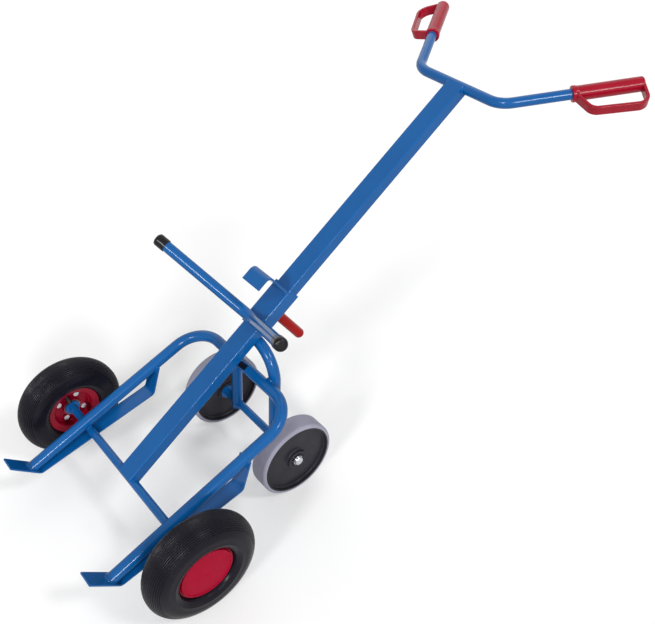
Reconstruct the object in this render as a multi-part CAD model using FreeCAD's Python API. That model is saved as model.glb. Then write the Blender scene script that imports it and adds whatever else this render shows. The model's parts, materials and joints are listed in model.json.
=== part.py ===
"""Drum trolley, parked on its four wheels with the mast leaning back.

X runs across the trolley, Y backwards to the handle, Z up. The origin is on the floor, in the
middle of the trolley's outline. Lengths are in millimetres, angles in degrees.
"""
import FreeCAD
import Part
import math
import os
from FreeCAD import Placement, Rotation, Vector

# Stance
wheelbase = 351.0
mast_lean = 54.2
hoop_rise = 21.7

# Front axle: a plain bar with chamfered ends
axle_diameter = 20.0
axle_tail = 11.0
axle_chamfer = 1.5

# Mast: rectangular tube with its foot on the front axle
mast_width = 50.0
mast_depth = 30.0
mast_wall = 2.0
mast_corner_radius = 3.5
mast_forward = 3.0
handle_height = 1183.5

# Handle bar: bent tube across the mast's top
handle_tube_diameter = 25.0
handle_tube_wall = 2.0
handle_straight = 261.0
handle_arm = 321.5
handle_bend_radius = 58.0
handle_splay = 34.9
handle_drop = 25.4

# Grips with a knuckle guard on the outer side
grip_length = 163.0
grip_wall = 4.7
grip_end_wall = 3.5
grip_end_radius = 5.0
collar_wall = 6.5
collar_length = 8.0
guard_reach = 58.5
guard_flare = 6.0
guard_turn = 14.4
guard_width = 24.0
guard_thickness = 8.0
guard_slope_run = 32.0
guard_end_run = 6.0
guard_bend_radius = 24.0
guard_edge_radius = 2.5
grip_clearance = 0.05

# Hoop frame: bent tube lying on the front axle
hoop_tube_diameter = 28.0
hoop_tube_wall = 2.5
tyre_gap = 44.5
hoop_bend_radius = 78.0

# Toe bars: bent flat bars under the hoop's side tubes
bar_width = 40.0
bar_thickness = 4.0
bar_bend_radius = 12.0
toe_length = 86.0
toe_angle = 116.7
heel_distance = 147.0
skid_angle = 7.8
skid_distance = 168.0
skid_return_angle = 50.5

# Rear arch: tube bent into an arch that stands on the rear axle, its crown on the mast's back
arch_tube_diameter = 28.0
arch_tube_wall = 2.5
arch_spread = 160.0
arch_lean = 1.8
arch_bite = 1.5
arch_tail = 14.0

# Rear axle and its collars
rear_axle_diameter = 20.0
rear_axle_tail = 7.0
rear_axle_chamfer = 1.5
axle_collar_diameter = 37.0
axle_collar_thickness = 3.0
running_gap = 0.3

# Spacer between the mast and the hoop
spacer_length = 32.0
spacer_height = 16.0
spacer_wall = 2.0
plug_depth = 8.0
plug_lip = 1.0
plug_clearance = 0.1

# Sleeve that slides on the mast
sleeve_length = 123.0
sleeve_wall = 4.0
sleeve_clearance = 0.5
sleeve_corner_radius = 5.0
sleeve_stop_gap = 0.5

# Hook on the sleeve's front
hook_width = 60.0
hook_thickness = 5.0
hook_reach = 86.0
hook_drop = 39.0
hook_below_top = 9.0
hook_bend_radius = 13.0

# Cradle: V-shaped tube that holds the drum's side
cradle_tube_diameter = 27.0
cradle_tube_wall = 2.3
cradle_half_span = 236.0
cradle_reach = 150.0
cradle_bend_radius = 60.0
cradle_above_foot = 17.0
cradle_bite = 1.5
cap_wall = 1.8
cap_length = 30.0
cap_end_wall = 6.0
cap_dome_radius = 8.0
cap_clearance = 0.05

# Rod and grip at the back of the sleeve
rod_diameter = 14.0
rod_length = 128.0
rod_above_foot = 61.5
rod_grip_diameter = 25.0
rod_grip_start = 14.0
rod_grip_end_wall = 4.0
rod_grip_end_radius = 9.0

# Front wheels
front_wheel_diameter = 260.0
front_track = 598.0
tyre_width = 80.0
tyre_wall = 6.0
tyre_shoulder_radius = 38.0
tyre_foot_radius = 16.0
tyre_bead_width = 9.0
tyre_rib_count = 6
tyre_rib_pitch = 7.0
tyre_groove_width = 2.2
tyre_groove_depth = 1.6
tube_wall = 1.6
tube_gap = 0.3
rim_diameter = 130.0
rim_seat_diameter = 101.6
rim_width = 54.0
rim_sheet = 2.0
rim_bend_radius = 3.5
rim_flange_depth = 4.5
bead_gap = 0.15
hub_diameter = 46.0
hub_length = 26.0
hub_lip = 2.0
bearing_diameter = 42.0
bearing_width = 12.0
bearing_clearance = 0.05
bearing_shield_inset = 0.8
bearing_shield_margin = 3.0
rim_bolt_circle = 70.0
rim_bolt_count = 4
rim_bolt_phase = 60.0
rim_bolt_diameter = 8.0
rim_bolt_head = 13.0
rim_bolt_head_height = 5.3
rim_nut_height = 6.5
rim_bolt_tail = 2.0
bolt_hole_clearance = 0.2
cap_disc_diameter = 122.0
cap_disc_thickness = 2.0
cap_crown = 2.0
cap_skirt_depth = 13.0
cap_skirt_gap = 0.3
cap_lip = 1.0
cap_lip_width = 4.0
valve_diameter = 8.0
valve_length = 30.0
valve_cap_diameter = 10.5
valve_cap_length = 12.0
valve_tilt = 40.0
pin_diameter = 4.0
pin_length = 34.0
pin_eye_radius = 5.0
pin_clearance = 0.1

# Rear wheels
rear_wheel_diameter = 200.0
rear_track = 301.0
rear_wheel_width = 50.0
tread_thickness = 8.5
tread_shoulder_radius = 6.5
core_rim_thickness = 4.0
core_web = 30.0
core_hub_diameter = 50.0
core_hub_length = 48.0
core_corner_radius = 4.0
tread_key_depth = 2.0
tread_key_width = 14.0
bush_wall = 5.0
bush_clearance = 0.05
axle_cap_diameter = 25.0
axle_cap_flange = 1.5
axle_cap_wall = 1.5

# One overrun serves every cut
overrun = 5.0

ORIGIN = Vector(0, 0, 0)
X = Vector(1, 0, 0)
Y = Vector(0, 1, 0)
Z = Vector(0, 0, 1)

front_radius = front_wheel_diameter / 2
rear_radius = rear_wheel_diameter / 2
axle_centre = Vector(0, 0, front_radius)
rear_centre = Vector(0, wheelbase, rear_radius)
mast_place = Placement(axle_centre, Rotation(X, -mast_lean))
hoop_place = Placement(axle_centre, Rotation(X, hoop_rise))
arch_place = Placement(rear_centre, Rotation(X, -arch_lean))


# Lines, faces and solids

def unit(vector):
    """A copy of the vector with length one."""
    copy = Vector(vector)
    copy.normalize()
    return copy


def placed(shape, place):
    return shape.transformed(place.Matrix, True)


def moved(shape, step):
    return placed(shape, Placement(step, Rotation()))


def mirrored(shape):
    """The same piece for the other side of the trolley."""
    return shape.mirror(ORIGIN, X)


def polar(angle, radius, normal_x):
    """A point round the X axis, at normal_x along it."""
    turn = math.radians(angle)
    return Vector(normal_x, radius * math.cos(turn), radius * math.sin(turn))


def rounded_edges(points, radii, closed=False):
    """Straight edges through the points, with each corner rounded by its own radius."""
    count = len(points)
    corners = []
    for index, corner in enumerate(points):
        inner = closed or 0 < index < count - 1
        radius = radii[index]
        if not inner or radius == 0:
            corners.append((corner, None, corner))
            continue
        to_last = unit(points[index - 1] - corner)
        to_next = unit(points[(index + 1) % count] - corner)
        half = to_last.getAngle(to_next) / 2
        setback = radius / math.tan(half)
        middle = corner + unit(to_last + to_next) * (radius / math.sin(half) - radius)
        corners.append((corner + to_last * setback, middle, corner + to_next * setback))
    edges = []
    for index, (start, middle, end) in enumerate(corners):
        if middle is not None:
            edges.append(Part.Arc(start, middle, end).toShape())
        if closed or index < count - 1:
            following = corners[(index + 1) % count][0]
            if (following - end).Length > Part.Precision.confusion():
                edges.append(Part.makeLine(end, following))
    return edges


def outline_face(points, radii):
    return Part.Face(Part.Wire(rounded_edges(points, radii, closed=True)))


def strip_face(points, thickness, bend_radius, normal):
    """A flat strip of even thickness along a line of points, rounded at the bends."""
    half = thickness / 2
    left, right = [], []
    left_radii, right_radii = [], []
    for index, point in enumerate(points):
        before = unit(points[index] - points[index - 1]) if index else None
        after = unit(points[index + 1] - points[index]) if index < len(points) - 1 else None
        first = normal.cross(before or after)
        second = normal.cross(after or before)
        mitre = (first + second) * (1 / (1 + first.dot(second)))
        left.append(point + mitre * half)
        right.append(point - mitre * half)
        ends = before is None or after is None
        turn = 0 if ends else math.copysign(half, before.cross(after).dot(normal))
        left_radii.append(0 if ends else bend_radius - turn)
        right_radii.append(0 if ends else bend_radius + turn)
    return outline_face(left + right[::-1], left_radii + right_radii[::-1])


def ring_solid(points, radii):
    """A ring turned round the X axis from an outline in x and radius."""
    return outline_face(points, radii).revolve(ORIGIN, X, 360)


def sharp_ring(points):
    return ring_solid(points, [0] * len(points))


def rod(start, end, diameter):
    return Part.makeCylinder(diameter / 2, (end - start).Length, start, end - start)


def swept(points, bend_radius, diameter):
    """A round bar along a bent line."""
    radii = [0] + [bend_radius] * (len(points) - 2) + [0]
    path = Part.Wire(rounded_edges(points, radii))
    circle = Part.Circle(points[0], points[1] - points[0], diameter / 2)
    return path.makePipe(Part.Face(Part.Wire(circle.toShape())))


def bent_tube(points, bend_radius, diameter, wall):
    return swept(points, bend_radius, diameter).cut(swept(points, bend_radius, diameter - 2 * wall))


def box_bar(width, depth, length, corner_radius):
    """An upright bar with rounded long edges, centred on the Z axis."""
    half_width = width / 2
    half_depth = depth / 2
    corners = [(-half_width, -half_depth), (half_width, -half_depth), (half_width, half_depth)]
    corners.append((-half_width, half_depth))
    points = [Vector(x, y, 0) for x, y in corners]
    return outline_face(points, [corner_radius] * len(points)).extrude(Z * length)


def hexagon(across, height, centre):
    """A hexagonal head along X, from the centre of its seat."""
    radius = across / 2 / math.cos(math.radians(30))
    points = [centre + polar(60 * corner, radius, 0) for corner in range(6)]
    return Part.Face(Part.makePolygon(points + points[:1])).extrude(X * height)


# Frame

handle_centre = Vector(0, -mast_forward, handle_height)
handle_radius = handle_tube_diameter / 2
arch_radius = arch_tube_diameter / 2
hoop_radius = hoop_tube_diameter / 2
hoop_height = axle_diameter / 2 + hoop_radius
hoop_spread = front_track - tyre_width - bar_width - 2 * tyre_gap
hoop_side = hoop_spread / 2
mast_back = mast_depth / 2 - mast_forward
mast_front = mast_depth / 2 + mast_forward


def handle_points():
    """The bar's centre line, from the left end to the right end, in the mast's frame."""
    splay = math.radians(handle_splay)
    drop = math.radians(handle_drop)
    along = math.cos(splay)
    arm = Vector(math.sin(splay), along * math.sin(drop), along * math.cos(drop)) * handle_arm
    right_corner = handle_centre + X * (handle_straight / 2)
    right_end = right_corner + arm
    left = [Vector(-point.x, point.y, point.z) for point in (right_end, right_corner)]
    return left + [right_corner, right_end]


def make_handle_bar():
    bar = bent_tube(handle_points(), handle_bend_radius, handle_tube_diameter, handle_tube_wall)
    return placed(bar, mast_place)


def make_mast():
    """The tube's ends are hollowed to sit on the axle and under the handle bar."""
    outer = box_bar(mast_width, mast_depth, handle_height, mast_corner_radius)
    hollow_width = mast_width - 2 * mast_wall
    hollow_depth = mast_depth - 2 * mast_wall
    inner = box_bar(hollow_width, hollow_depth, handle_height, mast_corner_radius - mast_wall)
    tube = moved(outer.cut(inner), Vector(0, -mast_forward, 0))
    across = X * mast_width
    tube = tube.cut(rod(-across, across, axle_diameter))
    tube = tube.cut(rod(handle_centre - across, handle_centre + across, handle_tube_diameter))
    return placed(tube, mast_place)


def make_front_axle():
    """A round bar across the whole width, with a cross hole for the split pin at each end."""
    end = hub_outer_face() + axle_tail
    bar = rod(-X * end, X * end, axle_diameter)
    bar = bar.makeChamfer(axle_chamfer, end_edges(bar))
    for side in (-1, 1):
        middle = X * (side * pin_place())
        bar = bar.cut(rod(middle - Z * axle_diameter, middle + Z * axle_diameter, pin_diameter))
    return moved(bar, axle_centre)


def end_edges(bar):
    """The two round edges of a cylinder's ends."""
    return [edge for edge in bar.Edges if edge.isClosed()]


def hub_inner_face():
    return front_track / 2 - hub_length / 2


def hub_outer_face():
    return front_track / 2 + hub_length / 2


def pin_place():
    return hub_outer_face() + running_gap + axle_collar_thickness + pin_diameter / 2 + pin_clearance


def make_washers(diameter, starts):
    """One washer at each place along X on both sides, round the X axis."""
    washers = []
    for start in starts:
        disc = rod(X * start, X * (start + axle_collar_thickness), axle_collar_diameter)
        bore = rod(X * (start - overrun), X * (start + axle_collar_thickness + overrun), diameter)
        washer = disc.cut(bore)
        washers += [washer, mirrored(washer)]
    return Part.makeCompound(washers)


def make_split_pins():
    """A straight pin with a ring for an eye, through each end of the front axle."""
    top = Z * (pin_length / 2)
    shank = rod(-top, top, pin_diameter - 2 * pin_clearance)
    eye = Part.makeTorus(pin_eye_radius, pin_diameter / 2 - pin_clearance, ORIGIN, X)
    eye = moved(eye, top + Z * pin_eye_radius)
    pin = moved(shank.fuse(eye), axle_centre + X * pin_place())
    return Part.makeCompound([pin, mirrored(pin)])


def make_hoop_frame(toe_bar):
    """A U-shaped tube, its two open ends cut off against the toe bars."""
    start = -heel_distance - toe_length
    corner = hoop_reach()
    side = hoop_side
    plan = [(-side, start), (-side, corner), (side, corner), (side, start)]
    points = [Vector(x, y, hoop_height) for x, y in plan]
    tube = bent_tube(points, hoop_bend_radius, hoop_tube_diameter, hoop_tube_wall)
    heel, toe = bar_points()[1], bar_points()[0]
    away = X.cross(unit(toe - heel))
    corners = [heel, toe + unit(toe - heel) * toe_length]
    corners += [point + away * (2 * toe_length) for point in corners[::-1]]
    waste = Part.Face(Part.makePolygon(corners + corners[:1])).extrude(X * (2 * hoop_spread))
    waste = moved(waste, -X * hoop_spread)
    tube = placed(tube.cut(waste), hoop_place)
    return tube.cut(toe_bar).cut(mirrored(toe_bar))


def bar_points():
    """The flat bar's middle line from the toe's tip, seen from the side in the hoop's frame."""
    slope = math.tan(math.radians(skid_angle))
    level = -axle_diameter / 2 - bar_thickness / 2 / math.cos(math.radians(skid_angle))
    heel = Vector(0, -heel_distance, level + heel_distance * slope)
    toe_turn = math.radians(toe_angle)
    toe = heel + Vector(0, math.cos(toe_turn), math.sin(toe_turn)) * toe_length
    corner = Vector(0, skid_distance, level - skid_distance * slope)
    rise = hoop_height - corner.z
    run = rise / math.tan(math.radians(skid_return_angle))
    return [toe, heel, corner, corner + Vector(0, run, rise)]


def make_toe_bar():
    """Toe, heel, skid under the axle, and a return that ends on the hoop's side tube."""
    flat = strip_face(bar_points(), bar_thickness, bar_bend_radius, X)
    bar = moved(flat.extrude(X * bar_width), X * (hoop_side - bar_width / 2))
    start = Vector(hoop_side, 0, hoop_height)
    tube = rod(start, start + Y * hoop_reach(), hoop_tube_diameter)
    above = Part.makeBox(2 * bar_width, hoop_reach(), hoop_tube_diameter)
    above = moved(above, Vector(hoop_side - bar_width, 0, hoop_height))
    return placed(bar.cut(tube).cut(above), hoop_place)


def arch_height():
    """From the rear axle up to the crown's middle, so that the crown bites into the mast's back."""
    lean = math.radians(mast_lean)
    depth = mast_place.inverse().multVec(rear_centre).y - mast_back - arch_radius + arch_bite
    return depth / math.sin(lean - math.radians(arch_lean))


def arch_top():
    """The middle of the arch's crown, in the mast's frame."""
    return mast_place.inverse().multVec(arch_place.multVec(Z * arch_height()))


def arch_path():
    """The arch's middle line: a leg on each side and a half circle between them."""
    side = X * (arch_spread / 2)
    foot = -Z * arch_tail
    spring = Z * (arch_height() - arch_spread / 2)
    crown = Part.Arc(spring - side, Z * arch_height(), spring + side).toShape()
    left_leg = Part.makeLine(foot - side, spring - side)
    right_leg = Part.makeLine(spring + side, foot + side)
    return Part.Wire([left_leg, crown, right_leg])


def arch_bar(diameter):
    foot = -Z * arch_tail - X * (arch_spread / 2)
    circle = Part.Circle(foot, Z, diameter / 2)
    return arch_path().makePipe(Part.Face(Part.Wire(circle.toShape())))


def make_rear_arch():
    """The crown is hollowed to take the mast, and both legs are drilled for the rear axle."""
    tube = arch_bar(arch_tube_diameter).cut(arch_bar(arch_tube_diameter - 2 * arch_tube_wall))
    across = X * arch_spread
    tube = placed(tube.cut(rod(-across, across, rear_axle_diameter)), arch_place)
    bar = box_bar(mast_width, mast_depth, handle_height, mast_corner_radius)
    return tube.cut(placed(moved(bar, Vector(0, -mast_forward, 0)), mast_place))


def hoop_reach():
    """How far back the hoop's closed end lies, so that it just touches the arch's legs."""
    turn = math.radians(hoop_rise + arch_lean)
    behind = arch_place.inverse().multVec(axle_centre).y
    return (hoop_height * math.sin(turn) - hoop_radius - arch_radius - behind) / math.cos(turn)


def rear_hub_inner_face():
    return rear_track / 2 - core_hub_length / 2


def rear_hub_outer_face():
    return rear_track / 2 + core_hub_length / 2


def make_rear_axle():
    end = rear_hub_outer_face() + rear_axle_tail
    bar = rod(-X * end, X * end, rear_axle_diameter)
    bar = bar.makeChamfer(rear_axle_chamfer, end_edges(bar))
    return moved(bar, rear_centre)


def make_rear_collars():
    start = rear_hub_inner_face() - running_gap - axle_collar_thickness
    return moved(make_washers(rear_axle_diameter, [start]), rear_centre)


def make_axle_caps():
    """Domed push-on caps over the rear axle's ends."""
    inner = rear_axle_diameter / 2
    outer = inner + axle_cap_wall
    start = rear_hub_outer_face() + running_gap
    end = rear_hub_outer_face() + rear_axle_tail
    wide = axle_cap_diameter / 2
    flange = start + axle_cap_flange
    top = end + axle_cap_wall
    section = [(start, inner), (start, wide), (flange, wide), (flange, outer), (top, outer), (top, 0)]
    section += [(end, 0), (end, inner)]
    radii = [0, 0, 0, 0, outer / 2, 0, 0, 0]
    cap = ring_solid([Vector(x, radius, 0) for x, radius in section], radii)
    return moved(Part.makeCompound([cap, mirrored(cap)]), rear_centre)


def hoop_run():
    """The middle of the hoop's closed end, in the mast's frame."""
    point = hoop_place.multVec(Vector(0, hoop_reach(), hoop_height))
    return mast_place.inverse().multVec(point)


def spacer_depth():
    return hoop_run().y - hoop_radius - mast_back


def make_spacer_tube():
    """Short box tube across the mast, between its back and the hoop."""
    outer = spacer_bar(spacer_length, 0)
    inner = spacer_bar(spacer_length, spacer_wall)
    return placed(outer.cut(inner), mast_place)


def spacer_bar(length, inset):
    low = Vector(-length / 2, mast_back + inset, hoop_run().z - spacer_height / 2 + inset)
    return Part.makeBox(length, spacer_depth() - 2 * inset, spacer_height - 2 * inset, low)


def make_spacer_plugs():
    """A plug with a thin outer lip in each open end of the spacer."""
    body = spacer_bar(spacer_length, spacer_wall + plug_clearance)
    gap = spacer_bar(spacer_length - 2 * plug_depth, 0)
    lip = spacer_bar(spacer_length + 2 * plug_lip, spacer_wall / 2).cut(spacer_bar(spacer_length, 0))
    plugs = body.cut(gap).fuse(lip)
    return placed(Part.makeCompound(plugs.Solids), mast_place)


# Grips

def grip_place():
    """Z runs along the right arm from the grip's mouth, X outwards and turned a little down."""
    corner, end = handle_points()[2:]
    along = unit(end - corner)
    outward = Rotation(along, guard_turn).multVec(unit(X - along * X.dot(along)))
    mouth = end - along * (grip_length - grip_end_wall)
    return mast_place.multiply(Placement(mouth, Rotation(outward, along.cross(outward), along, "ZXY")))


def make_right_grip():
    """Closed hand grip with a collar at its mouth and a flat strap round the knuckles."""
    bore = handle_radius + grip_clearance
    barrel = bore + grip_wall
    collar = bore + collar_wall
    section = [(0, 0), (0, collar), (collar_length, collar), (collar_length + collar_wall, barrel)]
    section += [(grip_length, barrel), (grip_length, 0)]
    radii = [0, guard_edge_radius, guard_edge_radius, 0, grip_end_radius, 0]
    barrel_solid = ring_solid([Vector(x, radius, 0) for x, radius in section], radii)
    barrel_solid = placed(barrel_solid, Placement(ORIGIN, Rotation(Y, -90)))
    shift = guard_thickness / 2
    reach = guard_reach
    flared = guard_reach + guard_flare
    path = [(0, shift), (reach, guard_slope_run), (flared, grip_length - guard_end_run)]
    path += [(barrel, grip_length - shift), (0, grip_length - shift)]
    line = [Vector(x, 0, z) for x, z in path]
    strap = strip_face(line, guard_thickness, guard_bend_radius, -Y).extrude(Y * guard_width)
    strap = moved(strap, -Y * (guard_width / 2))
    strap = strap.makeFillet(guard_edge_radius, long_edges(strap))
    hole = rod(-Z * overrun, Z * (grip_length - grip_end_wall), 2 * bore)
    grip = barrel_solid.fuse(strap).cut(hole)
    return placed(grip.removeSplitter(), grip_place())


def long_edges(strap):
    """The strap's edges along its two sides, where it meets the flat of its width."""
    half = guard_width / 2
    edges = []
    for edge in strap.Edges:
        places = [vertex.Y for vertex in edge.Vertexes]
        on_a_side = all(abs(abs(place) - half) < guard_edge_radius for place in places)
        if on_a_side and places[0] * places[-1] > 0:
            edges.append(edge)
    return edges


# Sleeve with hook, cradle and rod

sleeve_foot = arch_top().z + arch_radius + sleeve_stop_gap
sleeve_front = mast_front + sleeve_clearance + sleeve_wall
sleeve_back = mast_back + sleeve_clearance + sleeve_wall


def make_sleeve():
    bore_width = mast_width + 2 * sleeve_clearance
    bore_depth = mast_depth + 2 * sleeve_clearance
    outer_width = bore_width + 2 * sleeve_wall
    outer_depth = bore_depth + 2 * sleeve_wall
    outer = box_bar(outer_width, outer_depth, sleeve_length, sleeve_corner_radius)
    inner = box_bar(bore_width, bore_depth, sleeve_length, sleeve_corner_radius - sleeve_wall)
    return placed(moved(outer.cut(inner), Vector(0, -mast_forward, sleeve_foot)), mast_place)


def make_hook():
    """Flat plate that stands out from the sleeve's front, with a lip turned down."""
    top = sleeve_foot + sleeve_length - hook_below_top - hook_thickness / 2
    lip = -sleeve_front - hook_reach + hook_thickness / 2
    line = [(-sleeve_front, top), (lip, top), (lip, top - hook_drop)]
    flat = strip_face([Vector(0, y, z) for y, z in line], hook_thickness, hook_bend_radius, X)
    plate = moved(flat.extrude(X * hook_width), -X * (hook_width / 2))
    return placed(plate, mast_place)


def cradle_points():
    """The cradle's middle line, in the mast's frame."""
    level = sleeve_foot + cradle_above_foot
    apex = -sleeve_front - cradle_tube_diameter / 2 + cradle_bite
    tip = apex - cradle_reach
    half = math.atan2(cradle_reach, cradle_half_span)
    sharp = apex + cradle_bend_radius * (1 / math.cos(half) - 1)
    plan = [(-cradle_half_span, tip), (0, sharp), (cradle_half_span, tip)]
    return [Vector(x, y, level) for x, y in plan]


def make_cradle():
    """V-shaped tube, hollowed where it sits on the sleeve's front."""
    tube = bent_tube(cradle_points(), cradle_bend_radius, cradle_tube_diameter, cradle_tube_wall)
    width = cradle_half_span
    seat = Part.makeBox(2 * width, sleeve_front, sleeve_length)
    seat = moved(seat, Vector(-width, -sleeve_front, sleeve_foot - sleeve_length / 2))
    return placed(tube.cut(seat), mast_place)


def make_right_cradle_cap():
    """Domed push-on cap over the cradle tube's end."""
    apex, tip = cradle_points()[1:]
    along = unit(tip - apex)
    bore = cradle_tube_diameter / 2 + cap_clearance
    outer = bore + cap_wall
    end = cap_end_wall
    mouth = end - cap_length
    section = [(mouth, bore), (mouth, outer), (end, outer), (end, 0), (0, 0), (0, bore)]
    radii = [0, 0, cap_dome_radius, 0, 0, 0]
    cap = ring_solid([Vector(x, radius, 0) for x, radius in section], radii)
    side = along.cross(Z)
    cap = placed(cap, Placement(tip, Rotation(along, side, along.cross(side), "XYZ")))
    return placed(cap, mast_place)


def rod_start():
    return Vector(0, sleeve_back, sleeve_foot + rod_above_foot)


def make_sleeve_rod():
    return placed(rod(rod_start(), rod_start() + Y * rod_length, rod_diameter), mast_place)


def make_rod_grip():
    """Closed grip pushed over the rod, with a rounded end."""
    bore = rod_diameter / 2
    outer = rod_grip_diameter / 2
    end = rod_length + rod_grip_end_wall
    section = [(rod_grip_start, bore), (rod_grip_start, outer), (end, outer), (end, 0), (rod_length, 0)]
    section.append((rod_length, bore))
    radii = [0, 0, rod_grip_end_radius, 0, 0, 0]
    grip = ring_solid([Vector(x, radius, 0) for x, radius in section], radii)
    place = Placement(rod_start(), Rotation(Z, 90))
    return placed(placed(grip, place), mast_place)


# Front wheel, turned round the X axis, with its outer side at +X

rim_half = rim_width / 2
seat_radius = rim_seat_diameter / 2
flange_radius = rim_diameter / 2
hub_radius = hub_diameter / 2


def rim_line():
    """The pressed sheet's middle line: disc, bead seat and flange."""
    middle = rim_sheet / 2
    seat = seat_radius - middle
    corner = rim_half - middle - rim_flange_depth
    return [(middle, hub_radius), (middle, seat), (corner, seat), (rim_half - middle, flange_radius)]


def bolt_places():
    return [rim_bolt_phase + 360 / rim_bolt_count * index for index in range(rim_bolt_count)]


def make_rim_half():
    line = [Vector(x, radius, 0) for x, radius in rim_line()]
    rim = strip_face(line, rim_sheet, rim_bend_radius, Z).revolve(ORIGIN, X, 360)
    hole = rim_bolt_diameter + 2 * bolt_hole_clearance
    for angle in bolt_places():
        centre = polar(angle, rim_bolt_circle / 2, 0)
        rim = rim.cut(rod(centre - X * overrun, centre + X * overrun, hole))
    return rim


def valve_ends():
    """The valve's foot in the rim's inner bead seat, and its tip in the dish."""
    foot_x = -(bead_face() - tyre_bead_width) / 2
    angle = rim_bolt_phase + 180 / rim_bolt_count
    foot = polar(angle, seat_radius - rim_sheet, foot_x)
    inward = unit(polar(angle, -1, 0))
    tilt = math.radians(valve_tilt)
    direction = inward * math.cos(tilt) - X * math.sin(tilt)
    return foot, direction


def make_inner_rim():
    foot, direction = valve_ends()
    hole = rod(foot - direction * overrun, foot + direction * overrun, valve_diameter)
    return mirror_in_wheel(make_rim_half()).cut(hole)


def mirror_in_wheel(shape):
    return shape.mirror(ORIGIN, X)


def make_rim_bolts():
    """Bolts with their heads in the inner dish."""
    bolts = []
    for angle in bolt_places():
        centre = polar(angle, rim_bolt_circle / 2, -rim_sheet)
        head = mirror_at(hexagon(rim_bolt_head, rim_bolt_head_height, centre), -rim_sheet)
        end = polar(angle, rim_bolt_circle / 2, rim_sheet + rim_nut_height + rim_bolt_tail)
        bolts.append(head.fuse(rod(centre, end, rim_bolt_diameter)))
    return Part.makeCompound(bolts)


def mirror_at(shape, place):
    return shape.mirror(X * place, X)


def make_rim_nuts():
    nuts = []
    for angle in bolt_places():
        centre = polar(angle, rim_bolt_circle / 2, rim_sheet)
        nut = hexagon(rim_bolt_head, rim_nut_height, centre)
        top = centre + X * (rim_nut_height + overrun)
        nuts.append(nut.cut(rod(centre - X * overrun, top, rim_bolt_diameter)))
    return Part.makeCompound(nuts)


def make_hub_tube():
    """Bearing housing with a lip inside, between the two bearings."""
    half = hub_length / 2
    seat = bearing_diameter / 2
    lip = seat - hub_lip
    middle = hub_lip / 2
    section = [(-half, hub_radius), (half, hub_radius), (half, seat), (middle, seat), (middle, lip)]
    section += [(-middle, lip), (-middle, seat), (-half, seat)]
    return sharp_ring([Vector(x, radius, 0) for x, radius in section])


def make_bearings():
    """Two shielded ball bearings, drawn as rings with a step at the shields."""
    inner = axle_diameter / 2 + bearing_clearance
    outer = bearing_diameter / 2
    low = inner + bearing_shield_margin
    high = outer - bearing_shield_margin
    near = hub_lip / 2
    far = near + bearing_width
    step = bearing_shield_inset
    section = [(near, inner), (near, outer), (far, outer), (far, high), (far - step, high)]
    section += [(far - step, low), (far, low), (far, inner)]
    ring = sharp_ring([Vector(x, radius, 0) for x, radius in section])
    return Part.makeCompound([ring, mirror_in_wheel(ring)])


def tyre_cavity():
    """The room for the inner tube: half width, lowest and highest radius."""
    low = flange_radius + bead_gap + tyre_wall
    return tyre_width / 2 - tyre_wall, low, front_radius - tyre_wall


def bead_face():
    return rim_half - rim_flange_depth - rim_sheet - bead_gap


def make_tyre():
    """Carcass open towards the rim, with narrow grooves round its tread."""
    half = tyre_width / 2
    bead_out = bead_face()
    bead_in = bead_out - tyre_bead_width
    foot = seat_radius + bead_gap
    lip_x = rim_half - rim_sheet - bead_gap
    lip = flange_radius + rim_sheet / 2 + bead_gap
    side = [(bead_in, foot), (bead_out, foot), (lip_x, lip), (half, lip), (half, front_radius)]
    radii = [0, rim_bend_radius, 0, tyre_foot_radius, tyre_shoulder_radius]
    outer = [Vector(x, radius, 0) for x, radius in side]
    outer += [Vector(-point.x, point.y, 0) for point in outer[::-1]]
    body = ring_solid(outer, radii + radii[::-1])
    body = body.cut(tube_ring(0))
    neck_top = tyre_cavity()[1] + tyre_foot_radius
    neck = [(-bead_in, 0), (bead_in, 0), (bead_in, neck_top), (-bead_in, neck_top)]
    body = body.cut(sharp_ring([Vector(x, radius, 0) for x, radius in neck]))
    return body.cut(tread_grooves())


def tread_grooves():
    """Square grooves, evenly spread over the tread and following its shoulders."""
    grooves = []
    flat = tyre_width / 2 - tyre_shoulder_radius
    for index in range(tyre_rib_count):
        along = (index - (tyre_rib_count - 1) / 2) * tyre_rib_pitch
        turn = max(0, abs(along) - flat) / tyre_shoulder_radius
        x = math.copysign(min(abs(along), flat) + tyre_shoulder_radius * math.sin(turn), along)
        radius = front_radius - tyre_shoulder_radius * (1 - math.cos(turn))
        low = radius - tyre_groove_depth
        high = front_radius + overrun
        left = x - tyre_groove_width / 2
        right = x + tyre_groove_width / 2
        section = [(left, low), (right, low), (right, high), (left, high)]
        grooves.append(sharp_ring([Vector(a, b, 0) for a, b in section]))
    return Part.makeCompound(grooves)


def tube_ring(inset):
    """A rounded ring that fills the tyre's cavity, drawn in by the inset."""
    half, low, high = tyre_cavity()
    half -= inset
    low += inset
    high -= inset
    corners = [(-half, low), (half, low), (half, high), (-half, high)]
    top = tyre_shoulder_radius - tyre_wall - inset
    bottom = tyre_foot_radius - inset
    return ring_solid([Vector(x, radius, 0) for x, radius in corners], [bottom, bottom, top, top])


def make_inner_tube():
    return tube_ring(tube_gap).cut(tube_ring(tube_gap + tube_wall))


def make_valve():
    """Stem through the inner rim half, with its cap."""
    foot, direction = valve_ends()
    stem_end = foot + direction * valve_length
    cap = rod(stem_end - direction * valve_cap_length, stem_end, valve_cap_diameter)
    rim = mirror_in_wheel(make_rim_half())
    stem = rod(foot - direction * (2 * rim_sheet), stem_end, valve_diameter)
    hole = rod(foot - direction * overrun, foot + direction * overrun, valve_diameter)
    return stem.cut(rim.cut(hole)).fuse(cap).removeSplitter()


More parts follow.
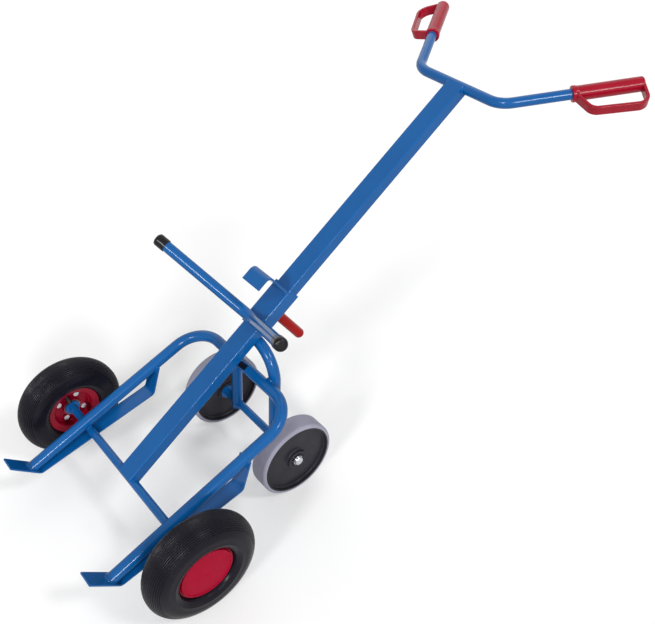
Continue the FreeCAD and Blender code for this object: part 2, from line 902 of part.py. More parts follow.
def make_hub_cap():
    """Round cover over the rim's outer dish, with a skirt inside the bead seat."""
    disc = cap_disc_diameter / 2
    low = rim_half + running_gap
    high = low + cap_disc_thickness
    skirt_out = seat_radius - rim_sheet - cap_skirt_gap
    skirt_in = skirt_out - cap_disc_thickness
    deep = low - cap_skirt_depth
    lip = disc - cap_lip_width
    edge = high + cap_lip
    section = [(low + cap_crown, 0), (low, skirt_in), (deep, skirt_in), (deep, skirt_out)]
    section += [(low, skirt_out), (low, disc), (edge, disc), (edge, lip), (high, lip)]
    section.append((high + cap_crown, 0))
    return sharp_ring([Vector(x, radius, 0) for x, radius in section])


# Rear wheel, turned round the X axis

core_radius = rear_radius - tread_thickness


def core_key():
    """The raised band that keys the tread onto the core."""
    half = tread_key_width / 2
    top = core_radius + tread_key_depth
    low = core_radius - tread_key_depth
    section = [(-half, low), (half, low), (half, top), (-half, top)]
    return sharp_ring([Vector(x, radius, 0) for x, radius in section])


def make_tread():
    half = rear_wheel_width / 2
    corners = [(-half, core_radius), (half, core_radius), (half, rear_radius), (-half, rear_radius)]
    radius = tread_shoulder_radius
    ring = ring_solid([Vector(x, r, 0) for x, r in corners], [0, 0, radius, radius])
    return ring.cut(core_key())


def make_core():
    """Moulded centre: outer band, thin web and a long hub."""
    half = rear_wheel_width / 2
    web = core_web / 2
    inner = core_radius - core_rim_thickness
    hub = core_hub_diameter / 2
    end = core_hub_length / 2
    bore = rear_axle_diameter / 2 + bush_wall
    right = [(end, bore), (end, hub), (web, hub), (web, inner), (half, inner), (half, core_radius)]
    radii = [0, 0, core_corner_radius, core_corner_radius, 0, 0]
    points = [Vector(x, radius, 0) for x, radius in right]
    points += [Vector(-point.x, point.y, 0) for point in points[::-1]]
    return ring_solid(points, radii + radii[::-1]).fuse(core_key()).removeSplitter()


def make_bush():
    end = core_hub_length / 2
    inner = rear_axle_diameter / 2 + bush_clearance
    outer = rear_axle_diameter / 2 + bush_wall
    section = [(-end, inner), (end, inner), (end, outer), (-end, outer)]
    return sharp_ring([Vector(x, radius, 0) for x, radius in section])


# Assembly

def both_sides(name, right):
    return {"right_" + name: right, "left_" + name: mirrored(right)}


def build_frame():
    toe_bar = make_toe_bar()
    washers = [hub_inner_face() - running_gap - axle_collar_thickness, hub_outer_face() + running_gap]
    parts = {
        "mast": make_mast(),
        "handle_bar": make_handle_bar(),
        "front_axle": make_front_axle(),
        "front_inner_washers": moved(make_washers(axle_diameter, washers[:1]), axle_centre),
        "front_outer_washers": moved(make_washers(axle_diameter, washers[1:]), axle_centre),
        "front_split_pins": make_split_pins(),
        "hoop_frame": make_hoop_frame(toe_bar),
        "rear_arch": make_rear_arch(),
        "rear_axle": make_rear_axle(),
        "rear_axle_collars": make_rear_collars(),
        "rear_axle_caps": make_axle_caps(),
        "spacer_tube": make_spacer_tube(),
        "spacer_plugs": make_spacer_plugs(),
    }
    parts.update(both_sides("toe_bar", toe_bar))
    parts.update(both_sides("grip", make_right_grip()))
    return parts


def build_slider():
    parts = {
        "sleeve": make_sleeve(),
        "hook": make_hook(),
        "cradle": make_cradle(),
        "sleeve_rod": make_sleeve_rod(),
        "rod_grip": make_rod_grip(),
    }
    parts.update(both_sides("cradle_cap", make_right_cradle_cap()))
    return parts


def build_front_wheels():
    wheel = {
        "tyre": make_tyre(),
        "inner_tube": make_inner_tube(),
        "rim_outer": make_rim_half(),
        "rim_inner": make_inner_rim(),
        "rim_bolts": make_rim_bolts(),
        "rim_nuts": make_rim_nuts(),
        "hub_tube": make_hub_tube(),
        "bearings": make_bearings(),
        "valve": make_valve(),
        "hub_cap": make_hub_cap(),
    }
    parts = {}
    centre = axle_centre + X * (front_track / 2)
    for name, shape in wheel.items():
        parts.update(both_sides("front_" + name, moved(shape, centre)))
    return parts


def build_rear_wheels():
    wheel = {"tread": make_tread(), "core": make_core(), "bush": make_bush()}
    parts = {}
    centre = rear_centre + X * (rear_track / 2)
    for name, shape in wheel.items():
        parts.update(both_sides("rear_" + name, moved(shape, centre)))
    return parts


def main():
    parts = {}
    for build in (build_frame, build_slider, build_front_wheels, build_rear_wheels):
        parts.update(build())
    boxes = [shape.optimalBoundingBox(False) for shape in parts.values()]
    middle = (min(box.YMin for box in boxes) + max(box.YMax for box in boxes)) / 2
    os.makedirs("parts", exist_ok=True)
    for name, shape in parts.items():
        shape = moved(shape, -Y * middle)
        shape.exportStep("parts/" + name + ".step")
    print("nodes", len(parts))
    print("front axle y", round(-middle, 3), "rear axle y", round(wheelbase - middle, 3))


main()
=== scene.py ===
"""The drum trolley dressed for its picture: paint, welds, ribbed tyres, light and camera.

Lengths are in metres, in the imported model's frame: X across the trolley, Y backwards to the handle,
Z up. Colours are written as they look, in sRGB.
"""
import json
import math
from collections import namedtuple

import bmesh
import bpy
from mathutils import Matrix, Vector
from mathutils.bvhtree import BVHTree


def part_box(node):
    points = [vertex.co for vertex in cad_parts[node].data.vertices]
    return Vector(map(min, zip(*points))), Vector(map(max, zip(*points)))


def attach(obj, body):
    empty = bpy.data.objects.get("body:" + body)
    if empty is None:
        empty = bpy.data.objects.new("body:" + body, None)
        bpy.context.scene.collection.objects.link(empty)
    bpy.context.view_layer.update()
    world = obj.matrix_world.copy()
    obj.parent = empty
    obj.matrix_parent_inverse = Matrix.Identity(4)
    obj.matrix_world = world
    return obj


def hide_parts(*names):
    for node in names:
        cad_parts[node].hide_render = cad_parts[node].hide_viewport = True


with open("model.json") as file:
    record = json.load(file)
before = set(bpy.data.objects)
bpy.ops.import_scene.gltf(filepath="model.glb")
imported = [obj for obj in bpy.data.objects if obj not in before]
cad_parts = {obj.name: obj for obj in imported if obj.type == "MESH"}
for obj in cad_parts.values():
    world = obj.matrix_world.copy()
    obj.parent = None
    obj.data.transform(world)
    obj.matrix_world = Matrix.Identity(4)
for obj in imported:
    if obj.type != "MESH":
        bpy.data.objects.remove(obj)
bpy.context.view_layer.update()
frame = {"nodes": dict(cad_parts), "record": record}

# Camera, fitted to the photograph; the sensor is in millimetres, as Blender takes it
image_width = 655
focal_pixels = 857.69
sensor_width = 36.0
camera_place = Vector((1.2835, -1.0079, 1.6396))
camera_azimuth = 50.08
camera_elevation = 38.01
camera_roll = 1.5
camera_near = 0.05

# Welds: rippled beads; an open one is cut into taper parts, and thins to its end share in the first and last
weld_radius = 0.0026
small_weld_radius = 0.0018
weld_ripple_length = 0.0032
weld_ripple_share = 0.16
weld_step = 0.0008
weld_least_steps = 8
weld_sides = 10
weld_end_share = 0.35
weld_taper_parts = 12
touch_reach = 0.0004
merge_gap = 0.00002
ring_least_points = 3
saddle_steps = 48
halvings = 40
saddle_gap_share = 1.5
crease_angle = math.radians(25)

# Tubes and seats, as in the model
axle_radius = 0.010
axle_height = 0.130
hoop_tube_radius = 0.014
hoop_side = 0.1945
hoop_rise = math.radians(21.7)
arch_tube_radius = 0.014
arch_side = 0.0796
arch_lean = math.radians(1.8)
mast_lean = math.radians(54.2)
sleeve_flat_half = 0.0245
cradle_tube_radius = 0.0135
cradle_bend_radius = 0.060
spacer_half_length = 0.016
spacer_half_height = 0.008

# Front tyre, as in the model, with rounded ribs that run on over its shoulders; each of its side rings
# has a distance inside the tread, a width and a height
tyre_half_width = 0.040
tyre_radius = 0.130
tyre_shoulder = 0.038
tyre_foot = 0.016
tyre_wall = 0.006
bead_low = 0.05095
bead_inner = 0.01135
bead_outer = 0.02035
bead_corner = 0.0035
lip_place = 0.02485
lip_radius = 0.06615
rib_pitch = 0.0046
rib_band = 0.0400
groove_half = 0.0015
groove_depth = 0.0016
side_rings = ((0.0490, 0.0014, 0.0006), (0.0600, 0.0010, 0.0006))
profile_step = 0.0005
foot_step = 2 * profile_step
inside_step = 4 * profile_step
crown_steps = 4
arc_least_steps = 4
tyre_steps = 160

# Star washers round the rear axle caps
washer_bore_radius = 0.0127
washer_root_radius = 0.0152
washer_tip_radius = 0.0180
washer_thickness = 0.0012
washer_gap = 0.0004
washer_teeth = 10
washer_tooth_steps = 6

# Finishes: two colours, the size of their patches, the range of roughness, the size and height of the
# grain, how far it is a metal, and how strongly it mirrors
Look = namedtuple("Look", "colour tint patch rough grain bump metal gloss")

looks = {
    "blue_paint": Look((6, 79, 140), (8, 83, 145), 0.09, (0.16, 0.20), 0.0035, 0.000001, 0.0, 0.23),
    "red_paint": Look((140, 4, 34), (130, 3, 30), 0.05, (0.20, 0.30), 0.0020, 0.000006, 0.0, 0.12),
    "red_cap": Look((150, 4, 40), (144, 3, 38), 0.06, (0.40, 0.50), 0.0007, 0.000010, 0.0, 0.06),
    "red_grip": Look((146, 6, 33), (139, 5, 30), 0.04, (0.20, 0.28), 0.0010, 0.000006, 0.0, 0.19),
    "red_dip": Look((150, 5, 3), (140, 4, 2), 0.03, (0.16, 0.24), 0.0060, 0.000010, 0.0, 0.09),
    "black_plastic": Look((13, 13, 18), (17, 17, 23), 0.03, (0.20, 0.26), 0.0010, 0.000002, 0.0, 0.20),
    "black_core": Look((36, 35, 41), (42, 41, 47), 0.04, (0.30, 0.38), 0.0009, 0.000010, 0.0, 0.12),
    "grey_rubber": Look((148, 147, 162), (140, 139, 154), 0.05, (0.50, 0.62), 0.0012, 0.000030, 0.0, 0.12),
    "tyre_rubber": Look((17, 15, 23), (22, 20, 28), 0.05, (0.25, 0.31), 0.0020, 0.000006, 0.0, 0.12),
    "tube_rubber": Look((24, 24, 25), (30, 30, 31), 0.05, (0.55, 0.65), 0.0010, 0.000030, 0.0, 0.20),
    "valve_rubber": Look((22, 22, 23), (28, 28, 29), 0.01, (0.45, 0.55), 0.0008, 0.000030, 0.0, 0.20),
    "zinc_steel": Look((205, 206, 210), (188, 190, 196), 0.006, (0.22, 0.36), 0.0009, 0.000010, 1.0, 0.50),
    "bearing_steel": Look((110, 111, 116), (96, 97, 102), 0.006, (0.30, 0.40), 0.0008, 0.000010, 1.0, 0.50),
    "white_nylon": Look((222, 219, 209), (212, 209, 198), 0.01, (0.40, 0.50), 0.0008, 0.000020, 0.0, 0.40),
}

# Noise: the middle of its range that is used, and how fine it is for each use
noise_low_share = 0.35
noise_high_share = 0.65
colour_detail = 5
rough_detail = 3
bump_detail = 2
rough_patch_share = 1 / 3

# The curve from sRGB to plain light
srgb_top = 255
srgb_knee_share = 0.04045
srgb_slope = 12.92
srgb_offset = 0.055
srgb_power = 2.4

# Studio: each lamp has an azimuth, an elevation and a width in degrees, and a strength
Lamp = namedtuple("Lamp", "azimuth elevation width strength")

lamps = {
    "left_key": Lamp(24, 29, 11, 1.45),
    "right_key": Lamp(67, 27, 11, 1.45),
    "rim": Lamp(116, 48, 12, 0.9),
    "fill": Lamp(235, 42, 60, 0.6),
}

# Sky, with its strength to the eye and as a light, and floor
white = (1, 1, 1, 1)
sky_seen = 1.0
sky_light = 0.40
floor_half = 40.0
floor_grey = (0.62, 0.62, 0.62, 1)
floor_roughness = 0.9
floor_glow = 0.30


def linear(colour):
    """An sRGB colour as the shader takes it."""
    result = []
    for value in colour:
        share = value / srgb_top
        if share <= srgb_knee_share:
            result.append(share / srgb_slope)
        else:
            result.append(((share + srgb_offset) / (1 + srgb_offset)) ** srgb_power)
    return result + [1.0]


def add_noise(tree, size, detail):
    """Noise that follows the object, with spots of about the given size."""
    place = tree.nodes.new("ShaderNodeTexCoord")
    noise = tree.nodes.new("ShaderNodeTexNoise")
    noise.inputs["Scale"].default_value = 1 / size
    noise.inputs["Detail"].default_value = detail
    tree.links.new(place.outputs["Object"], noise.inputs["Vector"])
    return noise.outputs["Fac"]


def spread(tree, value, low, high):
    """The middle of a noise value's range, stretched to run from low to high."""
    node = tree.nodes.new("ShaderNodeMapRange")
    node.inputs["From Min"].default_value = noise_low_share
    node.inputs["From Max"].default_value = noise_high_share
    node.inputs["To Min"].default_value = low
    node.inputs["To Max"].default_value = high
    tree.links.new(value, node.inputs["Value"])
    return node.outputs["Result"]


def make_material(name, look):
    """A paint, plastic, rubber or metal with patches of colour and gloss, and a fine grain."""
    material = bpy.data.materials.new(name)
    material.use_nodes = True
    tree = material.node_tree
    shader = tree.nodes["Principled BSDF"]
    shader.inputs["Metallic"].default_value = look.metal
    shader.inputs["Specular IOR Level"].default_value = look.gloss
    mix = tree.nodes.new("ShaderNodeMix")
    mix.data_type = "RGBA"
    mix.inputs["A"].default_value = linear(look.colour)
    mix.inputs["B"].default_value = linear(look.tint)
    patches = add_noise(tree, look.patch, colour_detail)
    tree.links.new(spread(tree, patches, 0, 1), mix.inputs["Factor"])
    tree.links.new(mix.outputs["Result"], shader.inputs["Base Color"])
    wear = add_noise(tree, look.patch * rough_patch_share, rough_detail)
    tree.links.new(spread(tree, wear, *look.rough), shader.inputs["Roughness"])
    bump = tree.nodes.new("ShaderNodeBump")
    bump.inputs["Distance"].default_value = look.bump
    tree.links.new(add_noise(tree, look.grain, bump_detail), bump.inputs["Height"])
    tree.links.new(bump.outputs["Normal"], shader.inputs["Normal"])
    return material


materials = {name: make_material(name, look) for name, look in looks.items()}


def dress_nodes():
    """Every CAD node takes the finish of its slot."""
    for row in frame["record"]["subparts"]:
        mesh = frame["nodes"][row["node"]].data
        mesh.materials.clear()
        mesh.materials.append(materials[row["material_slot"]])


# Pieces

def new_piece(name, mesh, body, slot):
    """Links a bmesh as an object with smooth faces, which rides on the body."""
    data = bpy.data.meshes.new(name)
    bmesh.ops.recalc_face_normals(mesh, faces=mesh.faces)
    mesh.to_mesh(data)
    mesh.free()
    data.polygons.foreach_set("use_smooth", [True] * len(data.polygons))
    data.materials.append(materials[slot])
    piece = bpy.data.objects.new(name, data)
    bpy.context.scene.collection.objects.link(piece)
    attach(piece, body)
    return piece


def loft_rings(mesh, rings, closed):
    """Faces between rings of points; a closed row of rings joins its end to its start."""
    rows = [[mesh.verts.new(point) for point in ring] for ring in rings]
    count = len(rows[0])
    pairs = list(zip(rows, rows[1:]))
    if closed:
        pairs.append((rows[-1], rows[0]))
    for first, second in pairs:
        for index in range(count):
            after = (index + 1) % count
            mesh.faces.new((first[index], first[after], second[after], second[index]))
    if not closed:
        mesh.faces.new(rows[0])
        mesh.faces.new(rows[-1])


# Welds

def even_points(points, closed, step):
    """Points at even steps along a line, and the length of the line."""
    line = points + points[:1] if closed else points
    lengths = [(b - a).length for a, b in zip(line, line[1:])]
    total = sum(lengths)
    count = max(weld_least_steps, round(total / step))
    result = []
    segment = 0
    passed = 0.0
    for index in range(count if closed else count + 1):
        target = min(total * index / count, total)
        while segment < len(lengths) - 1 and passed + lengths[segment] < target:
            passed += lengths[segment]
            segment += 1
        share = (target - passed) / lengths[segment] if lengths[segment] else 0.0
        result.append(line[segment].lerp(line[segment + 1], share))
    return result, total


def add_bead(mesh, points, closed, radius):
    """A rippled weld bead along a line of points."""
    line, total = even_points(points, closed, weld_step)
    count = len(line)
    ripples = max(1, round(total / weld_ripple_length))
    rings = []
    side = None
    for index, point in enumerate(line):
        before = line[index - 1] if closed or index else point
        after = line[(index + 1) % count] if closed or index < count - 1 else point
        along = (after - before).normalized()
        side = along.orthogonal() if side is None else side - along * side.dot(along)
        side.normalize()
        up = along.cross(side)
        phase = (ripples * index / count) % 1
        swell = radius * (1 + weld_ripple_share * (phase - 1 / 2))
        if not closed:
            taper = min(index, count - 1 - index) / max(1, count // weld_taper_parts)
            swell *= min(1.0, weld_end_share + taper)
        turns = [2 * math.pi * step / weld_sides for step in range(weld_sides)]
        rings.append([point + (side * math.cos(t) + up * math.sin(t)) * swell for t in turns])
    if closed:
        rings = untwisted(rings)
    loft_rings(mesh, rings, closed)


def untwisted(rings):
    """Turns the last rings back so that a closed row of rings meets its start."""
    first = rings[0][0]
    gaps = [(point - first).length for point in rings[-1]]
    shift = gaps.index(min(gaps))
    count = len(rings)
    result = []
    for index, ring in enumerate(rings):
        turn = round(shift * index / (count - 1))
        result.append(ring[turn:] + ring[:turn])
    return result


def welded_mesh(node):
    """The node's mesh with its doubled points joined."""
    mesh = bmesh.new()
    mesh.from_mesh(frame["nodes"][node].data)
    bmesh.ops.remove_doubles(mesh, verts=mesh.verts, dist=merge_gap)
    return mesh


def seam_lines(node, other):
    """Lines of the node's sharp edges that lie on the other node's surface, longest first."""
    mesh = welded_mesh(node)
    other_mesh = welded_mesh(other)
    surface = BVHTree.FromBMesh(other_mesh)
    other_mesh.free()
    touching = set()
    for vert in mesh.verts:
        if surface.find_nearest(vert.co, touch_reach)[0] is not None:
            touching.add(vert)
    edges = [
        edge for edge in mesh.edges
        if edge.verts[0] in touching and edge.verts[1] in touching
        and len(edge.link_faces) == 2 and edge.calc_face_angle() > crease_angle
    ]
    lines = chained(edges)
    mesh.free()
    return sorted(lines, key=line_length, reverse=True)


def chained(edges):
    """The edges joined end to end, as (points, closed)."""
    links = {}
    for edge in edges:
        first, second = edge.verts
        links.setdefault(first, []).append(second)
        links.setdefault(second, []).append(first)
    lines = []
    while links:
        ends = [vert for vert, others in links.items() if len(others) == 1]
        start = ends[0] if ends else next(iter(links))
        walk = [start]
        while links.get(walk[-1]):
            following = links[walk[-1]].pop()
            links[following].remove(walk[-1])
            walk.append(following)
        for vert in [vert for vert, others in links.items() if not others]:
            del links[vert]
        closed = len(walk) > ring_least_points and walk[0] is walk[-1]
        points = [vert.co.copy() for vert in (walk[:-1] if closed else walk)]
        if len(points) > 1:
            lines.append((points, closed))
    return lines


def line_length(line):
    """The length of a line given as (points, closed)."""
    points, closed = line
    ring = points + points[:1] if closed else points
    return sum((b - a).length for a, b in zip(ring, ring[1:]))


def saddle_line(contact, normal, first, second, gap):
    """The line round two crossed tubes' point of contact where they stand the gap apart.

    Each tube is its axis and its radius, and the first one lies on the side that the normal points to.
    """
    points = []
    for index in range(saddle_steps):
        turn = 2 * math.pi * index / saddle_steps
        reach = saddle_reach(turn, first[1], second[1], gap)
        rise, fall = saddle_heights(turn, reach, first[1], second[1])
        flat = first[0] * (reach * math.cos(turn)) + second[0] * (reach * math.sin(turn))
        points.append(contact + flat + normal * ((rise - fall) / 2))
    return points, True


def seat_line(contact, normal, tube, bend, bite, gap):
    """The line round a bent tube's seat where it stands the gap off a flat face.

    The tube and its bend are each the axis they curve round and a radius, and the tube sinks into the
    face by the bite.
    """
    points = []
    for index in range(saddle_steps):
        turn = 2 * math.pi * index / saddle_steps
        reach = saddle_reach(turn, tube[1], bend[1], bite + gap)
        flat = tube[0] * (reach * math.cos(turn)) + bend[0] * (reach * math.sin(turn))
        points.append(contact + flat + normal * (gap / 2))
    return points, True


def saddle_reach(turn, first_radius, second_radius, total):
    """How far from the contact, in one direction, the two curves have opened by the total."""
    low = 0.0
    high = min(first_radius, second_radius)
    for _ in range(halvings):
        middle = (low + high) / 2
        if sum(saddle_heights(turn, middle, first_radius, second_radius)) < total:
            low = middle
        else:
            high = middle
    return low


def saddle_heights(turn, reach, first_radius, second_radius):
    """How far each tube has curved away from the plane of contact."""
    return (curve_away(first_radius, reach * math.sin(turn)),
            curve_away(second_radius, reach * math.cos(turn)))


def curve_away(radius, offset):
    """How far a circle falls from its tangent at an offset along it."""
    return radius - math.sqrt(radius ** 2 - offset ** 2)


# Directions and places of the welded tubes
front_axle_y = (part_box("front_axle")[0].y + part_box("front_axle")[1].y) / 2
across = Vector((1, 0, 0))
along_hoop = Vector((0, math.cos(hoop_rise), math.sin(hoop_rise)))
above_hoop = Vector((0, -math.sin(hoop_rise), math.cos(hoop_rise)))
along_arch = Vector((0, math.sin(arch_lean), math.cos(arch_lean)))
behind_arch = Vector((0, math.cos(arch_lean), -math.sin(arch_lean)))
along_mast = Vector((0, math.sin(mast_lean), math.cos(mast_lean)))
behind_mast = Vector((0, math.cos(mast_lean), -math.sin(mast_lean)))
before_mast = -behind_mast
hoop_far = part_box("hoop_frame")[1]
hoop_end = Vector((0, hoop_far.y - hoop_tube_radius, hoop_far.z - hoop_tube_radius))

# Each row: the piece whose edge is welded, the piece it sits on, how many seams, bead radius
frame_seams = [
    ("mast", "handle_bar", 2, weld_radius),
    ("mast", "front_axle", 1, weld_radius),
    ("hoop_frame", "right_toe_bar", 1, weld_radius),
    ("hoop_frame", "left_toe_bar", 1, weld_radius),
    ("right_toe_bar", "hoop_frame", 1, weld_radius),
    ("left_toe_bar", "hoop_frame", 1, weld_radius),
    ("rear_arch", "rear_axle", 4, small_weld_radius),
    ("spacer_tube", "mast", 1, small_weld_radius),
]
slider_seams = [
    ("sleeve_rod", "sleeve", 1, small_weld_radius),
]


def make_welds(name, body, seams, extra_lines):
    """One piece with all the beads of a body."""
    mesh = bmesh.new()
    for node, other, count, radius in seams:
        lines = seam_lines(node, other)
        for points, closed in lines[:count]:
            add_bead(mesh, points, closed, radius)
    for points, closed in extra_lines:
        add_bead(mesh, points, closed, weld_radius)
    new_piece(name, mesh, body, "blue_paint")


def places_along(node, way):
    """How far each point of the node's mesh lies along a direction."""
    return [vert.co.dot(way) for vert in frame["nodes"][node].data.vertices]


def frame_saddles():
    """Beads where the hoop meets the front axle, the arch and the spacer, and the arch the mast."""
    lines = []
    gap = saddle_gap_share * weld_radius
    hoop_bar = (along_hoop, hoop_tube_radius)
    axle_bar = (across, axle_radius)
    arch_bar = (along_arch, arch_tube_radius)
    end_bar = (across, hoop_tube_radius)
    for side in (-1, 1):
        contact = Vector((side * hoop_side, front_axle_y, axle_height)) + above_hoop * axle_radius
        lines.append(saddle_line(contact, above_hoop, hoop_bar, axle_bar, gap))
        contact = hoop_end + across * (side * arch_side) + behind_arch * hoop_tube_radius
        lines.append(saddle_line(contact, behind_arch, arch_bar, end_bar, gap))
        opening = curve_away(hoop_tube_radius, spacer_half_height)
        place = hoop_end + along_mast * (side * spacer_half_height)
        place += behind_mast * (opening / 2 - hoop_tube_radius)
        reach = across * spacer_half_length
        lines.append(([place - reach, place + reach], False))
    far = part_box("rear_arch")[1]
    crown = Vector((0, far.y - arch_tube_radius, far.z - arch_tube_radius))
    back = max(places_along("mast", behind_mast))
    depth = crown.dot(behind_mast) - back
    slope = before_mast.dot(along_arch)
    tube = (across, arch_tube_radius)
    bend = (along_mast, arch_side / slope + arch_tube_radius)
    contact = crown - behind_mast * depth
    lines.append(seat_line(contact, behind_mast, tube, bend, arch_tube_radius - depth, gap))
    return lines


def slider_saddles():
    """Beads round the cradle's seat on the sleeve, and above and below the hook."""
    front = max(places_along("sleeve", before_mast))
    levels = places_along("cradle", along_mast)
    contact = before_mast * front + along_mast * ((min(levels) + max(levels)) / 2)
    tube = (across, cradle_tube_radius)
    bend = (along_mast, cradle_bend_radius + cradle_tube_radius)
    lines = [seat_line(contact, before_mast, tube, bend, 0, saddle_gap_share * weld_radius)]
    rows = zip(places_along("hook", before_mast), places_along("hook", along_mast))
    ends = [level for place, level in rows if abs(place - front) < touch_reach]
    for level in (min(ends), max(ends)):
        middle = before_mast * front + along_mast * level
        reach = across * sleeve_flat_half
        lines.append(([middle - reach, middle + reach], False))
    return lines


# Tyres

def arc_points(centre, radius, start, end, step):
    """Points on an arc in x and radius, from one angle to another in degrees."""
    span = math.radians(abs(end - start)) * radius
    count = max(arc_least_steps, round(span / step))
    turns = [math.radians(start + (end - start) * index / count) for index in range(count + 1)]
    return [(centre[0] + radius * math.cos(t), centre[1] + radius * math.sin(t)) for t in turns]


def tyre_side():
    """Half of the tyre's outer line, from the middle of the tread to the rim's lip."""
    crown = tyre_half_width - tyre_shoulder
    line = [(crown * index / crown_steps, tyre_radius) for index in range(crown_steps)]
    line += arc_points((crown, tyre_radius - tyre_shoulder), tyre_shoulder, 90, 0, profile_step)
    foot = lip_radius + tyre_foot
    line += arc_points((tyre_half_width - tyre_foot, foot), tyre_foot, 0, -90, foot_step)
    return line


def groove_fall(along):
    """How deep the tread is cut at a distance from its middle, measured over the surface."""
    if abs(along) > rib_band:
        return 0.0
    off = (abs(along) % rib_pitch) - rib_pitch / 2
    share = min(1.0, abs(off) / groove_half)
    return groove_depth * (1 + math.cos(math.pi * share)) / 2


def ring_height(radius):
    """Fine raised rings round the sidewall, below its widest place."""
    if radius > tyre_radius - tyre_shoulder:
        return 0.0
    height = 0.0
    for drop, width, rise in side_rings:
        off = (tyre_radius - radius - drop) / width
        height += rise * math.exp(-off * off)
    return height


def tyre_outline():
    """The closed section of the tyre, in x and radius."""
    side = tyre_side()
    shaped = []
    along = 0.0
    for index, (x, radius) in enumerate(side):
        before = side[max(0, index - 1)]
        after = side[min(len(side) - 1, index + 1)]
        if index:
            along += math.hypot(x - before[0], radius - before[1])
        run = math.hypot(after[0] - before[0], after[1] - before[1])
        normal = ((before[1] - after[1]) / run, (after[0] - before[0]) / run)
        lift = ring_height(radius) - groove_fall(along)
        shaped.append((x + normal[0] * lift, radius + normal[1] * lift))
    bead = [(lip_place, lip_radius), (bead_outer, bead_low + bead_corner)]
    bead += [(bead_outer - bead_corner, bead_low), (bead_inner, bead_low)]
    cave = tyre_half_width - tyre_wall
    inside = [(bead_inner, lip_radius + tyre_wall), (cave - tyre_foot, lip_radius + tyre_wall)]
    foot = (cave - tyre_foot, lip_radius + tyre_foot)
    inside += arc_points(foot, tyre_foot - tyre_wall, -90, 0, inside_step)
    crown = tyre_half_width - tyre_shoulder
    top = tyre_shoulder - tyre_wall
    inside += arc_points((crown, tyre_radius - tyre_shoulder), top, 0, 90, inside_step)
    half = shaped + bead + inside
    other = [(-x, radius) for x, radius in half[::-1]]
    line = half + other
    clean = [line[0]]
    for point in line[1:]:
        if math.hypot(point[0] - clean[-1][0], point[1] - clean[-1][1]) > merge_gap:
            clean.append(point)
    return clean


def make_tyre(side):
    """A ribbed tyre in the place of the model's plainer one."""
    name = side + "_front_tyre"
    low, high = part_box(name)
    centre = (low + high) / 2
    outline = tyre_outline()
    mesh = bmesh.new()
    rings = []
    for index in range(tyre_steps):
        turn = 2 * math.pi * index / tyre_steps
        around = Vector((0, math.cos(turn), math.sin(turn)))
        rings.append([centre + Vector((x, 0, 0)) + around * radius for x, radius in outline])
    loft_rings(mesh, rings, True)
    piece = new_piece(name + "_ribbed", mesh, side + "_front_wheel", "tyre_rubber")
    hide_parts(name)


# Star washers

def make_star_washers():
    """A toothed washer round each rear axle cap, against the wheel's hub."""
    low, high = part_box("rear_axle_caps")
    middle = (low + high) / 2
    hub_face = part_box("right_rear_bush")[1].x
    steps = washer_teeth * washer_tooth_steps
    mesh = bmesh.new()
    for side in (-1, 1):
        inner = Vector((side * (hub_face + washer_gap), middle.y, middle.z))
        rings = []
        for index in range(steps):
            turn = 2 * math.pi * index / steps
            around = Vector((0, math.cos(turn), math.sin(turn)))
            tooth = index % washer_tooth_steps < washer_tooth_steps / 2
            outer = washer_tip_radius if tooth else washer_root_radius
            section = [(0, washer_bore_radius), (0, outer)]
            section += [(washer_thickness, outer), (washer_thickness, washer_bore_radius)]
            rings.append([inner + around * radius + across * (side * x) for x, radius in section])
        loft_rings(mesh, rings, True)
    piece = new_piece("rear_star_washers", mesh, "frame", "black_plastic")
    piece.data.polygons.foreach_set("use_smooth", [False] * len(piece.data.polygons))


# Studio

def way_out(azimuth, elevation):
    """The direction from the trolley at an azimuth and elevation in degrees."""
    turn = math.radians(azimuth)
    rise = math.radians(elevation)
    flat = math.cos(rise)
    return Vector((math.sin(turn) * flat, -math.cos(turn) * flat, math.sin(rise)))


def add_lamp(name, lamp):
    """A far soft lamp, at an azimuth counted as the camera's is."""
    light = bpy.data.lights.new(name, "SUN")
    light.angle = math.radians(lamp.width)
    light.energy = lamp.strength
    piece = bpy.data.objects.new(name, light)
    way = way_out(lamp.azimuth, lamp.elevation)
    piece.rotation_euler = way.to_track_quat("Z", "Y").to_euler()
    bpy.context.scene.collection.objects.link(piece)


def seen_directly(tree):
    """One for rays from the camera and for those mirrored or let through, else zero."""
    path = tree.nodes.new("ShaderNodeLightPath")
    total = path.outputs["Is Camera Ray"]
    for name in ("Is Glossy Ray", "Is Transmission Ray"):
        node = tree.nodes.new("ShaderNodeMath")
        node.operation = "MAXIMUM"
        tree.links.new(total, node.inputs[0])
        tree.links.new(path.outputs[name], node.inputs[1])
        total = node.outputs[0]
    return total


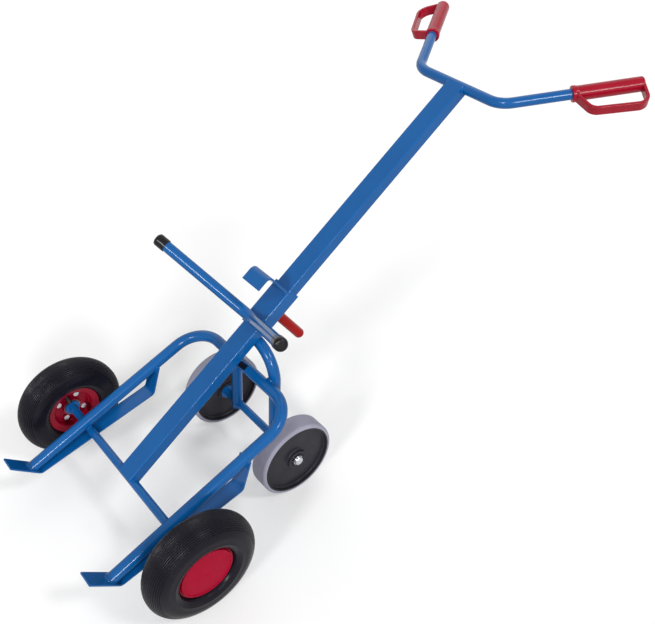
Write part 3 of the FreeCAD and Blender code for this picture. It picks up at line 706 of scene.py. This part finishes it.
def make_world():
    """White to the eye, dimmer as a light."""
    world = bpy.data.worlds.new("studio")
    world.use_nodes = True
    tree = world.node_tree
    sky = tree.nodes["Background"]
    sky.inputs["Color"].default_value = white
    node = tree.nodes.new("ShaderNodeMapRange")
    node.inputs["To Min"].default_value = sky_light
    node.inputs["To Max"].default_value = sky_seen
    tree.links.new(seen_directly(tree), node.inputs["Value"])
    tree.links.new(node.outputs["Result"], sky.inputs["Strength"])
    bpy.context.scene.world = world


def make_floor():
    """A pale floor that keeps the shadow, lifted to white for the eye."""
    data = bpy.data.meshes.new("floor")
    half = floor_half
    corners = [(-half, -half, 0), (half, -half, 0), (half, half, 0), (-half, half, 0)]
    data.from_pydata(corners, [], [(0, 1, 2, 3)])
    floor = bpy.data.objects.new("floor", data)
    bpy.context.scene.collection.objects.link(floor)
    material = bpy.data.materials.new("floor")
    material.use_nodes = True
    tree = material.node_tree
    shader = tree.nodes["Principled BSDF"]
    shader.inputs["Base Color"].default_value = floor_grey
    shader.inputs["Roughness"].default_value = floor_roughness
    shader.inputs["Emission Color"].default_value = white
    node = tree.nodes.new("ShaderNodeMath")
    node.operation = "MULTIPLY"
    node.inputs[1].default_value = floor_glow
    tree.links.new(seen_directly(tree), node.inputs[0])
    tree.links.new(node.outputs[0], shader.inputs["Emission Strength"])
    data.materials.append(material)


def make_camera():
    """The camera that the photograph was taken with, as far as it could be fitted."""
    azimuth = math.radians(camera_azimuth)
    roll = math.radians(camera_roll)
    back = way_out(camera_azimuth, camera_elevation)
    right = Vector((math.cos(azimuth), math.sin(azimuth), 0))
    up = back.cross(right)
    sideways = right * math.cos(roll) + up * math.sin(roll)
    upward = up * math.cos(roll) - right * math.sin(roll)
    lens = bpy.data.cameras.new("camera")
    lens.sensor_width = sensor_width
    lens.lens = focal_pixels * sensor_width / image_width
    lens.clip_start = camera_near
    camera = bpy.data.objects.new("camera", lens)
    turn = Matrix((sideways, upward, back)).transposed().to_4x4()
    camera.matrix_world = Matrix.Translation(camera_place) @ turn
    bpy.context.scene.collection.objects.link(camera)
    bpy.context.scene.camera = camera


dress_nodes()
make_welds("frame_welds", "frame", frame_seams, frame_saddles())
make_welds("slider_welds", "slider", slider_seams, slider_saddles())
for side in ("right", "left"):
    make_tyre(side)
make_star_washers()

make_world()
make_floor()
for name, lamp in lamps.items():
    add_lamp(name, lamp)
make_camera()
bpy.context.scene.view_settings.view_transform = "Standard"
